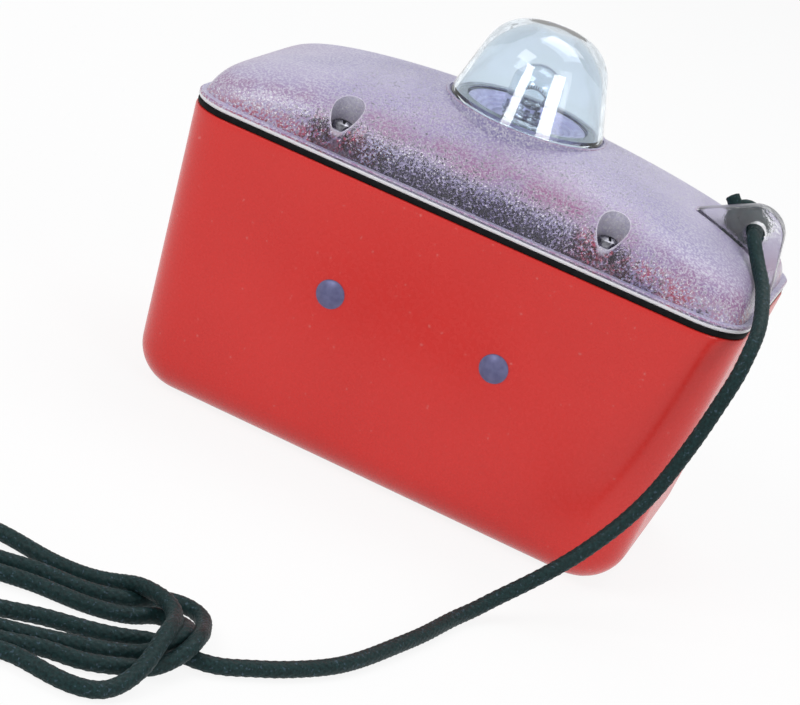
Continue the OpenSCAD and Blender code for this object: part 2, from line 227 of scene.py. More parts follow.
def tub_ring(inset, z, back=0.0):
    """Ring of the box wall at height z, moved in by inset and by the base's roundness."""
    half_w = BOX_W / 2 - SIDE_DRAFT * (1 - z / BOX_H) - inset - back
    half_d = BOX_D / 2 - FACE_DRAFT * (1 - z / BOX_H) - inset - back
    return rounded(half_w, half_d, max(CORNER_R - inset - back, 0.8), z)


def rounded_reach(half_w, half_d, radius, angle):
    """Distance from the middle to a rounded rectangle, along an angle."""
    c, s = abs(math.cos(angle)), abs(math.sin(angle))
    reach = min(half_w / max(c, 1e-9), half_d / max(s, 1e-9))
    x, y = half_w - radius, half_d - radius
    if reach * c > x and reach * s > y:
        along = c * x + s * y
        reach = along + math.sqrt(along * along - x * x - y * y + radius * radius)
    return reach


# Crowned shell of the lid: two crown arcs that roll over into upright walls

OVAL_STEPS = 160
CROWN_STEPS = 44
CROWN_TURN = 78
CROWN_SOFT_X, CROWN_SOFT_Y = 12, 6
OVAL_TOP, OVAL_GAIN, OVAL_FADE = 2.4, 9, 1.5


def soft_min(a, b, power):
    """The smaller of two lengths, with a rounded change from one to the other."""
    return (a ** -power + b ** -power) ** (-1 / power)


def oval(a, b, power, z):
    """A ring between an ellipse (power 2) and a rectangle (high power)."""
    t = 2 * math.pi * (np.arange(OVAL_STEPS) + 0.5) / OVAL_STEPS
    x = a * np.sign(np.cos(t)) * np.abs(np.cos(t)) ** (2 / power)
    y = b * np.sign(np.sin(t)) * np.abs(np.sin(t)) ** (2 / power)
    return np.column_stack([x, y, np.full(OVAL_STEPS, z)])


def crown_rings(inset, low):
    """Rings of the crown from a height upwards, moved in by inset."""
    top = CROWN_Z - inset
    wide, deep = BOX_W / 2 - RIM_STEP - inset, BOX_D / 2 - RIM_STEP - inset
    rings = []
    for k in range(CROWN_STEPS + 1):
        s = math.sin(math.radians(CROWN_TURN * k / CROWN_STEPS))
        z = low + (top - low) * s
        a = soft_min(math.sqrt(2 * CROWN_R_X * (top - z)), wide, CROWN_SOFT_X)
        b = soft_min(math.sqrt(2 * CROWN_R_Y * (top - z)), deep, CROWN_SOFT_Y)
        rings.append(oval(a, b, OVAL_TOP + OVAL_GAIN * (1 - s) ** OVAL_FADE, z))
    return rings


# Materials

def srgb(r, g, b):
    """A screen colour of 0 to 255 as linear values."""
    out = []
    for v in (r, g, b):
        v = v / 255
        out.append(v / 12.92 if v <= 0.04045 else ((v + 0.055) / 1.055) ** 2.4)
    return (*out, 1.0)


NOISE_LOW, NOISE_HIGH = 0.3, 0.7


class Material:
    """A principled material and short ways to add nodes to it."""

    def __init__(self, name, **values):
        self.mat = bpy.data.materials.new(name)
        self.mat.use_nodes = True
        self.tree = self.mat.node_tree
        self.bsdf = self.tree.nodes["Principled BSDF"]
        self.use(**values)
        self.coords = self.add("ShaderNodeTexCoord").outputs["Object"]

    def put(self, socket, value):
        """Links another node's output to a socket, or sets a constant on it."""
        if isinstance(value, bpy.types.NodeSocket):
            self.tree.links.new(value, socket)
        else:
            socket.default_value = value

    def set(self, node, values):
        """Fills sockets by name, with _ for a space."""
        for key, value in values.items():
            self.put(node.inputs[key.replace("_", " ")], value)

    def use(self, **values):
        """Fills the shader's own sockets."""
        self.set(self.bsdf, values)

    def add(self, kind, settings=None, **values):
        """A new node with its settings and socket values."""
        node = self.tree.nodes.new(kind)
        for key, value in (settings or {}).items():
            setattr(node, key, value)
        self.set(node, values)
        return node

    def noise(self, scale, detail=3.0, rough=0.55):
        """Noise in the object's own space, mostly between NOISE_LOW and NOISE_HIGH."""
        node = self.add(
            "ShaderNodeTexNoise", Scale=scale, Detail=detail, Roughness=rough, Vector=self.coords
        )
        return node.outputs["Fac"]

    def tones(self, value, dark, light, dark_at=NOISE_LOW, light_at=NOISE_HIGH):
        """A colour between dark and light."""
        node = self.add("ShaderNodeValToRGB", Fac=value)
        stops = ((dark_at, dark), (light_at, light))
        for element, (at, colour) in zip(node.color_ramp.elements, stops):
            element.position = at
            element.color = colour if len(colour) == 4 else (*colour, 1)
        return node.outputs["Color"]

    def grey(self, value, low, high, low_at=NOISE_LOW, high_at=NOISE_HIGH):
        """A number that goes from low to high as the value goes from low_at to high_at."""
        node = self.add(
            "ShaderNodeMapRange", Value=value, From_Min=low_at, From_Max=high_at, To_Min=low, To_Max=high
        )
        return node.outputs["Result"]

    def within(self, value, full, gone):
        """1 below one length in millimetres, 0 above another."""
        return self.grey(value, 1, 0, full * MM, gone * MM)

    def math(self, operation, one, two=0.0):
        node = self.add("ShaderNodeMath", {"operation": operation})
        self.put(node.inputs[0], one)
        self.put(node.inputs[1], two)
        return node.outputs["Value"]

    def less(self, one, two):
        return self.math("SUBTRACT", one, two)

    def plus(self, *values):
        return functools.reduce(functools.partial(self.math, "ADD"), values)

    def times(self, *values):
        return functools.reduce(functools.partial(self.math, "MULTIPLY"), values)

    def most(self, *values):
        return functools.reduce(functools.partial(self.math, "MAXIMUM"), values)

    def length(self, x, y):
        """Length of a flat vector."""
        flat = self.add("ShaderNodeCombineXYZ", X=x, Y=y)
        node = self.add("ShaderNodeVectorMath", {"operation": "LENGTH"})
        self.put(node.inputs[0], flat.outputs["Vector"])
        return node.outputs["Value"]

    def mix(self, kind, values, output):
        """A mix node, by the numbers of its sockets for one kind of data."""
        node = self.add("ShaderNodeMix", {"data_type": kind})
        for index, value in values.items():
            self.put(node.inputs[index], value)
        return node.outputs[output]

    def paint(self, factor, one, two):
        """A colour that goes from one to two as the factor goes from 0 to 1."""
        return self.mix("RGBA", {0: factor, 6: one, 7: two}, 2)

    def blend(self, factor, one, two):
        """A number that goes from one to two as the factor goes from 0 to 1."""
        return self.mix("FLOAT", {0: factor, 2: one, 3: two}, 0)

    def bump(self, height, strength, distance):
        node = self.add("ShaderNodeBump", Height=height, Strength=strength, Distance=distance)
        self.use(Normal=node.outputs["Normal"])


def red_plastic():
    """Satin red with a few pale specks."""
    m = Material("red_plastic", Specular_IOR_Level=0.42, IOR=1.5)
    tone = m.tones(m.noise(25, 3), srgb(207, 44, 39), srgb(213, 48, 43))
    specks = m.grey(m.noise(760, 1), 0, 0.38, 0.74, 0.8)
    m.use(Base_Color=m.paint(specks, tone, srgb(236, 150, 144)))
    m.use(Roughness=m.grey(m.noise(900, 2), 0.23, 0.31))
    m.bump(m.noise(2600, 2), 0.06, 0.0003)
    return m.mat


def frosted_clear():
    """Clear plastic: grained where it faces up, clearer in the walls, matt in rim, seat and wells."""
    m = Material("frosted_clear", IOR=1.46, Specular_IOR_Level=0.5)
    normal = m.add("ShaderNodeNewGeometry").outputs["Normal"]
    upward = m.math("ABSOLUTE", m.add("ShaderNodeSeparateXYZ", Vector=normal).outputs["Z"])
    x, y, z = m.add("ShaderNodeSeparateXYZ", Vector=m.coords).outputs
    wide, deep = m.math("ABSOLUTE", x), m.math("ABSOLUTE", y)

    # Zones of the moulding, each as 0 to 1
    off_screw = m.length(m.less(wide, SCREW_X * MM), m.less(deep, SCREW_Y * MM))
    in_well = m.within(off_screw, WELL_R + 0.1, WELL_R + 0.4)
    in_seat = m.within(m.length(x, y), LENS_R + 3, LENS_R + 4.5)
    in_rim = m.within(z, LID_Z + 0.8, LID_Z + 1.0)
    boss = m.times(m.within(off_screw, 6, 8.5), m.grey(upward, 1, 0, 0.4, 0.6), m.less(1.0, in_well))
    ridge = m.less(CROWN_Z * MM, m.math("DIVIDE", m.times(x, x), 2 * CROWN_R_X * MM))
    above_ridge = m.grey(m.less(z, ridge), 0, 1, 0.3 * MM, 0.6 * MM)
    plate = m.times(m.within(deep, LUG_T / 2 + 0.1, LUG_T / 2 + 0.3), m.grey(upward, 1, 0, 0.3, 0.5))
    in_lug = m.times(m.most(above_ridge, plate), m.grey(x, 0, 1, 34 * MM, 36 * MM))

    # Painted red light from the box: red grains low in the walls towards the ends and round the bosses
    patches = m.grey(m.noise(70, 2), 0, 1, 0.42, 0.56)
    to_ends = m.grey(wide, 0, 1, 20 * MM, 34 * MM)
    height = m.less(z, m.times(x, 0.06))
    low_down = m.grey(height, 1, 0.25, (LID_Z + 5) * MM, (LID_Z + 9) * MM)
    painted_red_light_zone = m.times(patches, to_ends, m.grey(upward, 1, 0, 0.3, 0.62), low_down)
    painted_red_light_zone = m.most(painted_red_light_zone, m.times(boss, m.grey(m.noise(420, 1), 0, 1, 0.44, 0.54)))
    painted_red_light_grains = m.times(painted_red_light_zone, m.grey(m.noise(1500, 1), 0.1, 0.8, 0.42, 0.58))

    # Colour: cloudy lavender, a painted reflection of the red box at the shoulder, pale grain, painted red
    # light from the box as grains, painted glints, painted highlights at rim and wells, a colourless lug
    grain = m.noise(1700, 2, 0.6)
    tone = m.tones(m.noise(30, 2), srgb(156, 147, 192), srgb(190, 182, 215), 0.35, 0.65)
    # Painted reflection of the red box: a pink band at the shoulder
    shoulder = m.times(m.grey(upward, 0, 1, 0.4, 0.6), m.grey(upward, 1, 0, 0.74, 0.98))
    painted_red_reflection = m.times(shoulder, m.grey(m.noise(60, 3), 0.2, 0.85, 0.35, 0.6))
    tone = m.paint(painted_red_reflection, tone, srgb(160, 98, 142))
    tone = m.paint(m.grey(grain, 0, 0.75, 0.44, 0.62), tone, srgb(222, 220, 234))
    # Painted red light from the box, as red grains
    tone = m.paint(painted_red_light_grains, tone, srgb(182, 50, 72))
    glint = m.times(m.grey(m.noise(2300, 1), 0, 0.9, 0.6, 0.68), m.grey(upward, 1, 0.25, 0.5, 0.8))
    tone = m.paint(glint, tone, srgb(248, 246, 252))
    # Painted highlights: rim and wells lightened towards white; the lug is colourless clear plastic
    pale = m.most(in_rim, in_lug, m.times(in_well, 0.35))
    m.use(Base_Color=m.paint(pale, tone, srgb(250, 250, 254)))

    # Light goes through where the grain is above a level that rises to the top and the ends
    ends = m.plus(m.grey(x, 0.22, 0, -52 * MM, -36 * MM), m.grey(x, 0, 0.1, 36 * MM, 52 * MM))
    level = m.plus(m.grey(upward, 0.36, 0.64, 0.12, 0.7), ends)
    level = m.plus(level, m.less(m.times(painted_red_light_zone, 0.14), m.times(boss, 0.1)))
    through = m.grey(m.less(grain, level), 0.2, 0.96, -0.09, 0.07)
    matt = m.most(in_rim, m.times(in_well, 0.8), in_seat)
    m.use(Transmission_Weight=m.blend(in_lug, m.blend(matt, through, 0.25), 0.96))
    m.use(Roughness=m.grey(upward, 0.08, 0.32, 0.2, 0.8))
    m.bump(grain, 0.35, 0.0004)
    return m.mat


def clear(name, dark, light, scale, rough, rough_scale, **values):
    """Polished clear plastic or glass."""
    m = Material(name, Transmission_Weight=1.0, Coat_Roughness=0.02, **values)
    m.use(Base_Color=m.tones(m.noise(scale), dark, light))
    m.use(Roughness=m.grey(m.noise(rough_scale), 0.0, rough))
    return m.mat


def grained(name, dark, light, rough, scales, bump, **values):
    """Two close tones, with roughness and relief from finer noise."""
    m = Material(name, **values)
    tone_scale, rough_scale, bump_scale = scales
    m.use(Base_Color=m.tones(m.noise(tone_scale), dark, light))
    m.use(Roughness=m.grey(m.noise(rough_scale), *rough))
    m.bump(m.noise(bump_scale), *bump)
    return m.mat


def metal(name, dark, light, rough, scale=1200, metallic=1.0):
    scales = (scale, scale * 1.7, scale * 2)
    return grained(name, dark, light, rough, scales, (0.15, 0.0001), Metallic=metallic)


def plastic(name, dark, light, rough, scale=600):
    scales = (scale, scale * 2, scale * 4)
    return grained(name, dark, light, rough, scales, (0.12, 0.0002), Specular_IOR_Level=0.45)


def gasket_rubber():
    dark, light = (0.003, 0.003, 0.0035), (0.008, 0.008, 0.009)
    scales, bump = (700, 1500, 3000), (0.1, 0.0002)
    return grained("gasket_rubber", dark, light, (0.6, 0.8), scales, bump, Specular_IOR_Level=0.12)


def cord_braid():
    """Dark green braid with paler flecks."""
    m = Material("cord_braid", Specular_IOR_Level=0.18, Sheen_Weight=0.04, Sheen_Roughness=0.4)
    tone = m.tones(m.noise(1800, 3), srgb(8, 27, 28), srgb(24, 52, 53))
    flecks = m.grey(m.noise(1300, 1), 0, 0.5, 0.64, 0.72)
    m.use(Base_Color=m.paint(flecks, tone, srgb(72, 92, 108)))
    m.use(Roughness=m.grey(m.noise(2500), 0.42, 0.65))
    m.bump(m.noise(5000, 2), 0.25, 0.0002)
    return m.mat


RED = red_plastic()
RUBBER = gasket_rubber()
FROSTED = frosted_clear()
LENS = clear(
    "clear_lens", srgb(230, 240, 248), srgb(235, 244, 251), 40, 0.03, 300,
    IOR=1.3, Coat_Weight=0.4, Coat_IOR=1.5,
)
BULB = clear(
    "bulb_clear", srgb(240, 244, 248), srgb(252, 253, 255), 200, 0.04, 500,
    IOR=1.06, Coat_Weight=1.0, Coat_IOR=1.55,
)
STEEL = metal("screw_steel", srgb(84, 84, 92), srgb(146, 146, 154), (0.22, 0.38))
CONTACT = metal("contact_metal", srgb(90, 91, 128), srgb(110, 111, 148), (0.4, 0.55), 700, 0.6)
BRASS = metal("cap_brass", srgb(92, 82, 70), srgb(150, 136, 112), (0.22, 0.4))
WIRE = metal("lamp_wire", srgb(34, 34, 42), srgb(196, 196, 204), (0.15, 0.3), 600)
BLACK = plastic("black_plastic", (0.008, 0.008, 0.01), (0.018, 0.018, 0.02), (0.4, 0.6))
JACKET = plastic("cell_jacket", (0.06, 0.065, 0.08), (0.1, 0.1, 0.12), (0.35, 0.5))
REFLECTOR = plastic("reflector", srgb(176, 166, 206), srgb(206, 198, 228), (0.15, 0.28))
BRAID = cord_braid()


def dress(obj, material, slot, *nodes):
    """Gives a piece its finish and its body, and hides the nodes that it stands for. The slot is not used."""
    obj.data.materials.clear()
    obj.data.materials.append(material)
    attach(obj, BODY)
    if nodes:
        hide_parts(*nodes)
    return obj


# Camera at the photograph's angle

YAW, ELEVATION, ROLL = (math.radians(v) for v in (12.015, 19.197, 20.677))
DISTANCE, AIM = 0.59174, Vector((-0.00837, 0, 0.0227))
FOCAL_PX, FRAME_PX, SENSOR = 2401.7, 800, 36


def make_camera():
    back = Vector((
        math.sin(YAW) * math.cos(ELEVATION),
        -math.cos(YAW) * math.cos(ELEVATION),
        math.sin(ELEVATION),
    ))
    right = Vector((math.cos(YAW), math.sin(YAW), 0))
    up = back.cross(right)
    side = math.cos(ROLL) * right + math.sin(ROLL) * up
    above = math.cos(ROLL) * up - math.sin(ROLL) * right
    data = bpy.data.cameras.new("camera")
    data.sensor_fit = "HORIZONTAL"
    data.sensor_width = SENSOR
    data.lens = SENSOR * FOCAL_PX / FRAME_PX
    data.clip_start = 0.01
    camera = bpy.data.objects.new("camera", data)
    turn = Matrix((side, above, back)).transposed().to_4x4()
    camera.matrix_world = Matrix.Translation(AIM + DISTANCE * back) @ turn
    bpy.context.scene.collection.objects.link(camera)
    bpy.context.scene.camera = camera


make_camera()


# Lanyard

SPLINE_CUTS = 24
CHORD_POWER = 0.75
FIRST_SIDE = (0.3, 0.2, 0.9)
TUBE_SMOOTH = 80


def spline(points, step):
    """Points of equal spacing on a natural cubic spline through the given ones, and its length."""
    p = np.asarray(points, float)
    t = np.concatenate([[0], np.cumsum(np.linalg.norm(np.diff(p, axis=0), axis=1) ** CHORD_POWER)])
    h = np.diff(t)
    n = len(p)
    a = np.eye(n)
    b = np.zeros_like(p)
    for i in range(1, n - 1):
        a[i, i - 1:i + 2] = h[i - 1], 2 * (h[i - 1] + h[i]), h[i]
        b[i] = 6 * ((p[i + 1] - p[i]) / h[i] - (p[i] - p[i - 1]) / h[i - 1])
    m = np.linalg.solve(a, b)
    fine = []
    for i in range(n - 1):
        for u in np.linspace(0, 1, SPLINE_CUTS, endpoint=False):
            x0, x1 = u * h[i], (1 - u) * h[i]
            bend = m[i] * (x1 ** 3 / h[i] - x1 * h[i]) + m[i + 1] * (x0 ** 3 / h[i] - x0 * h[i])
            fine.append(p[i] * (1 - u) + p[i + 1] * u + bend / 6)
    fine.append(p[-1])
    fine = np.array(fine)
    s = np.concatenate([[0], np.cumsum(np.linalg.norm(np.diff(fine, axis=0), axis=1))])
    at = np.linspace(0, s[-1], max(2, int(round(s[-1] / step)) + 1))
    return np.column_stack([np.interp(at, s, fine[:, k]) for k in range(3)]), s[-1]


def frames_along(path):
    """Two normals at each point that twist as little as they can."""
    tangent = np.gradient(path, axis=0)
    tangent /= np.linalg.norm(tangent, axis=1)[:, None]
    first = np.cross(tangent[0], FIRST_SIDE)
    normals = [first / np.linalg.norm(first)]
    for i in range(len(path) - 1):
        n = normals[-1] - tangent[i + 1] * np.dot(normals[-1], tangent[i + 1])
        normals.append(n / np.linalg.norm(n))
    normals = np.array(normals)
    return normals, np.cross(tangent, normals)


def tube_rings(path, radius, theta):
    """Rings round a path. The radius is one number, or one for each point of each ring."""
    u_dir, v_dir = frames_along(path)
    out = np.cos(theta)[None, :, None] * u_dir[:, None, :] + np.sin(theta)[None, :, None] * v_dir[:, None, :]
    return list(path[:, None, :] + np.broadcast_to(radius, out.shape[:2])[..., None] * out)


def around(sides):
    return 2 * math.pi * np.arange(sides) / sides


def plain_tube(path, radius, sides):
    return loft("tube", tube_rings(path, radius, around(sides)))


BRAID_LANES = 8
BRAID_PITCH = 17.0
BRAID_DEPTH = 0.15
STRAND_POWER = 0.6


def braided_tube(name, path, radius, sides, step):
    """A tube whose surface is raised where the braid's strands cross over."""
    theta = around(sides)
    s = step * np.arange(len(path))[:, None]
    one = BRAID_LANES * (theta / (2 * math.pi) + s / BRAID_PITCH)
    two = BRAID_LANES * (theta / (2 * math.pi) - s / BRAID_PITCH)
    over = 0.5 + 0.5 * np.cos(math.pi * one) * np.cos(math.pi * two)
    ridge_one = (0.5 + 0.5 * np.cos(2 * math.pi * one)) ** STRAND_POWER * (0.5 + 0.5 * over)
    ridge_two = (0.5 + 0.5 * np.cos(2 * math.pi * two)) ** STRAND_POWER * (1 - 0.5 * over)
    r = radius * (1 - BRAID_DEPTH + BRAID_DEPTH * np.maximum(ridge_one, ridge_two))
    return smooth(loft(name, tube_rings(path, r, theta)), TUBE_SMOOTH)


FLOOR_Z = CORD_D / 2
LEAD = [
    (EYE_X, -LUG_T / 2, EYE_Z), (61.4, -4.6, 85.2), (63.3, -7.2, 83.1), (65.5, -10.6, 81), (67.8, -15, 79.2),
    (69.6, -20.5, 77.5), (71.1, -26, 75.7), (72.2, -31.2, 73.7), (72.7, -35.6, 71.3), (72.8, -38.8, 68.4),
    (72.7, -40.6, 65.2), (71.6, -42.3, 57.7), (70.2, -43.4, 49.8), (68.4, -44.6, 41.7), (66.1, -46.6, 33.6),
    (62.5, -50.4, 25.4), (60, -53, 21.2), (57.2, -56.2, 17.1), (52.6, -61, 11.6), (48.3, -65.4, 7.2),
    (45.1, -69.6, 4.3), (42.9, -74, 2.6), (40.6, -80.6, FLOOR_Z), (37.9, -94, FLOOR_Z), (34.9, -105.7, FLOOR_Z),
    (31.9, -116.4, FLOOR_Z), (28.4, -125.4, FLOOR_Z), (24.3, -132.2, FLOOR_Z), (20, -137.9, FLOOR_Z),
    (15.4, -142.9, FLOOR_Z), (10.7, -147.2, FLOOR_Z),
]

# The hank lies in its own frame: s runs from its right bend to the left, w across it to the back
HANK_TURN = math.radians(22)
HANK_AT = np.array([-8, -145])


def on_hank(s, w, lift=0.0):
    """A point of the hank."""
    along = np.array([math.cos(HANK_TURN), math.sin(HANK_TURN)])
    across = np.array([-math.sin(HANK_TURN), math.cos(HANK_TURN)])
    x, y = HANK_AT - s * along + w * across
    return (x, y, FLOOR_Z + lift)


# Runs and bends in order, as (s, w, lift): each bend at the right humps over what it crosses
HANK = [
    (-9.5, -8.2), (-4.6, -6.6), (0, -7.6), (4, -8.6), (10.2, -9.1), (18, -9.3), (24.7, -10.4), (40, -11),
    (47, -10.8), (52.3, -8.6), (54.5, -3.3), (52.3, 2), (47, 4.2), (40, 4), (26.2, 3.3), (19.2, 2.6),
    (11, 0.6), (2.9, 0.5), (-0.8, 1.9), (-4.2, 3.9), (-7.2, 3.8), (-9.4, 2, 0.6), (-10.3, -0.9, 1.6),
    (-10, -4, 2.8), (-9.1, -6.9, 3.6), (-7.7, -9.2, 3.4), (-5.8, -11, 2.2),
    (-3, -12.5, 0.6), (0, -13.4), (4, -14.8), (9.7, -15.9), (17.3, -17), (23.8, -17.6), (40, -18),
    (50, -17), (57.5, -12), (60.5, -4), (57.5, 4), (50, 9.3), (40, 10), (26.8, 8.9), (19.7, 8.6),
    (11.4, 6.6), (3.4, 7), (-0.7, 8.6), (-4, 10.9), (-7.5, 11.9), (-10.7, 10.8, 0.2), (-13.2, 7, 0.7),
    (-13.3, 0.6, 1.8), (-12.8, -4, 3), (-12, -7.5, 3.7), (-10.6, -11.2, 3.2), (-7.4, -15, 1.4),
    (-3.8, -17.4, 0.2), (0, -19), (5.5, -20.9), (9.2, -21.5), (13.1, -21.2), (17, -21), (23.5, -22),
    (40, -23), (52, -22), (61, -16.5), (66, -7), (66.5, 3), (63, 13), (55, 20.5), (47, 23.2), (40, 23.2),
    (34, 21.8), (28, 19.6), (24.7, 17.9), (20.4, 15.4), (16.1, 13.5), (11.9, 12.5), (7.8, 12.1, 0.2),
    (3.7, 10.9, 1.4), (0.5, 8.8, 2.9), (-2.5, 6.4, 3.6), (-4.9, 3.6, 4), (-6.4, 0.4, 4.2),
    (-6.9, -3, 4.4), (-6.7, -6.5, 5), (-5.6, -11.3, 5.5), (-4.3, -15.6, 4.5), (-2.3, -21.5, 2.4),
    (1.2, -27, 0.5), (4.8, -30.2), (8.5, -31.1), (12.3, -30.4), (16.3, -28.6), (20.2, -26.7),
    (23.1, -26), (30, -26.4), (38, -27), (44, -27),
]


def hank_points():
    return [on_hank(*point) for point in HANK]


CORD_STEP, CORD_SIDES = 0.42, 36
cord_path, cord_length = spline(LEAD + hank_points(), CORD_STEP)
cord = braided_tube("cord", cord_path, CORD_D / 2, CORD_SIDES, cord_length / (len(cord_path) - 1))
dress(cord, BRAID, "cord_braid", "cord_lead", "cord_hank")


KNOT_STEP, KNOT_SIDES, KNOT_SAMPLES = 0.4, 24, 40
EYE_KNOT_SIZE, EYE_KNOT_R = 1.42, 1.75
END_KNOT_SIZE, END_KNOT_R = 1.2, 1.5


def knot_path(size):
    """A trefoil about its own middle, which is an overhand knot pulled tight."""
    t = 2 * math.pi * np.arange(KNOT_SAMPLES) / KNOT_SAMPLES
    wide = 2 + np.cos(3 * t)
    knot = np.column_stack([wide * np.cos(2 * t), wide * np.sin(2 * t), 1.15 * np.sin(3 * t)])
    return spline(size * knot, KNOT_STEP)[0]


def knot_tube(name, path, radius=CORD_D / 2):
    return braided_tube(name, path, radius, KNOT_SIDES, KNOT_STEP)


def make_eye_knot():
    """The stopper knot behind the lug, its neck through the eye and its tail."""
    behind = LUG_T / 2 + 4.4
    knot = knot_tube("knot_body", knot_path(EYE_KNOT_SIZE), EYE_KNOT_R)
    place(knot, (EYE_X - 3.5, behind, EYE_Z - 0.6), Matrix.Rotation(math.radians(90), 3, "X"))
    neck = [(EYE_X, -LUG_T / 2, EYE_Z), (EYE_X, 1, EYE_Z), (EYE_X - 0.8, 4, EYE_Z + 0.2)]
    tail = [
        (EYE_X - 5.6, behind, EYE_Z),
        (EYE_X - 7.6, behind - 0.4, EYE_Z + 3.2),
        (EYE_X - 8.8, behind, EYE_Z + 4.4),
    ]
    ends = [
        knot_tube(name, spline(points, KNOT_STEP)[0])
        for name, points in (("knot_neck", neck), ("knot_tail", tail))
    ]
    return smooth(join("eye_knot", [knot] + ends), TUBE_SMOOTH)


def make_end_knot():
    """The knot at the free end, and the reach of cord up to it."""
    low, high = node_mm("cord_end_knot")
    middle = (low + high) / 2
    knot = knot_tube("end_body", knot_path(END_KNOT_SIZE), END_KNOT_R)
    place(knot, middle)
    end = np.array(hank_points()[-1])
    reach = knot_tube("end_reach", spline([end, (end + middle) / 2, middle], KNOT_STEP)[0])
    return smooth(join("end_knot", [knot, reach]), TUBE_SMOOTH)


eye_knot = dress(make_eye_knot(), BRAID, "cord_braid", "cord_knot")
end_knot = dress(make_end_knot(), BRAID, "cord_braid", "cord_end_knot")


# Box: tapered tub with a rounded base edge, screw posts inside

def make_box():
    steps, edge = 12, 0.5
    outer, inner = [], []
    for inset, rings in ((0.0, outer), (WALL, inner)):
        r = BASE_R - inset
        for k in range(steps, -1, -1):
            a = math.radians(90 * k / steps)
            rings.append(tub_ring(inset, inset + r * (1 - math.sin(a)), r * (1 - math.cos(a))))
        for z in np.linspace(BASE_R + 6, BOX_H - 2, 6):
            rings.append(tub_ring(inset, z))
    lip = [
        tub_ring(0, BOX_H - edge), tub_ring(edge * 0.3, BOX_H - edge * 0.3),
        tub_ring(edge, BOX_H), tub_ring(WALL, BOX_H),
    ]
    shell = loft("box_shell", outer + lip + inner[::-1])
    for x, y in at_screws():
        post = prism("post", circle(POST_R, 40, (x, y)), BASE_R, BOX_H)
        boolean(shell, post, "UNION")
        hole = prism("hole", circle(SCREW_R + 0.1, 32, (x, y)), WELL_Z - SCREW_L - 1, BOX_H + 1)
        boolean(shell, hole, "DIFFERENCE")
    return smooth(shell, 40)


dress(make_box(), RED, "red_plastic", "box")


# Gasket: a soft bead between box and lid

def make_gasket():
    low, high = node_mm("gasket")
    half = (high[2] - low[2]) / 2
    middle = (high[2] + low[2]) / 2
    inset, bulge = 0.2, 0.35
    rings = []
    for a in np.radians(np.linspace(-90, 90, 9)):
        back = inset + bulge * (1 - math.cos(a))
        rings.append(rounded(BOX_W / 2 - back, BOX_D / 2 - back, CORNER_R - back, middle + half * math.sin(a)))
    for z in (middle + half, middle - half):
        rings.append(rounded(BOX_W / 2 - WALL, BOX_D / 2 - WALL, CORNER_R - WALL, z))
    faces = [(a, b, d, c) for a, b, c, d in closed_cells(len(rings), len(rings[0]))]
    return smooth(new_object("gasket_ring", np.concatenate(rings), faces), 50)


dress(make_gasket(), RUBBER, "gasket_rubber", "gasket")


# Lid: crowned shell with rim, lens seat, wells, bosses and the eye lug

def rim_ring(inset, z, like):
    """The box outline, sampled along the same angles as another ring."""
    ring = []
    for x, y, _ in like:
        a = math.atan2(y, x)
        reach = rounded_reach(BOX_W / 2 - inset, BOX_D / 2 - inset, CORNER_R - inset, a)
        ring.append((reach * math.cos(a), reach * math.sin(a), z))
    return np.array(ring)


LUG_ROOT = 16


def lug_outline():
    """Side view (x, z) of the lug: round head, leaning top and end edges, foot in the lid."""
    top, edge = math.pi / 2 + LUG_TOP_LEAN, LUG_EDGE_LEAN
    head = np.array([EYE_X, EYE_Z])
    turn = np.linspace(edge, top, 24)
    points = [head + LUG_R * np.array([math.cos(a), math.sin(a)]) for a in turn]
    root = points[-1] - LUG_ROOT * np.array([math.cos(LUG_TOP_LEAN), math.sin(LUG_TOP_LEAN)])
    drop = EYE_Z - LID_Z - RIM_T
    toe = points[0] + drop * np.array([math.tan(LUG_EDGE_LEAN), -1])
    return np.array(points + [root, (root[0], toe[1]), toe])


def make_lug():
    """Plate in the XZ plane with softened edges."""
    outline = lug_outline()
    middle = np.array([EYE_X - 4, EYE_Z - 4])
    soft = 0.5
    levels = ((-LUG_T / 2, soft), (-LUG_T / 2 + soft * 0.35, soft * 0.35), (-LUG_T / 2 + soft, 0))
    levels += tuple((-y, inset) for y, inset in levels[::-1])
    rings = []
    for y, inset in levels:
        away = outline - middle
        flat = middle + away * (1 - inset / np.linalg.norm(away, axis=1))[:, None]
        rings.append(np.column_stack([flat[:, 0], np.full(len(flat), y), flat[:, 1]]))
    return loft("lug", rings)


def make_collar():
    """A thin lip round the foot of the lens, with a flare that runs out on the crown."""
    flare_w, flare_h, lip_w, lip_h, soft = 1.8, 4.5, 0.8, 0.4, 0.15
    opening, edge, top = LENS_R - SEAT_W, LENS_R + 0.3 + lip_w, SEAT_Z + lip_h
    profile = [(opening - 2, LID_Z + 4), (opening - 2, top), (edge - soft, top), (edge, top - soft)]
    for t in np.radians(np.linspace(0, 90, 13)):
        profile.append((edge + flare_w * (1 - math.cos(t)), SEAT_Z - flare_h * math.sin(t)))
    profile += [(edge + flare_w, LID_Z + 4)]
    return lathe("collar", profile, 160)


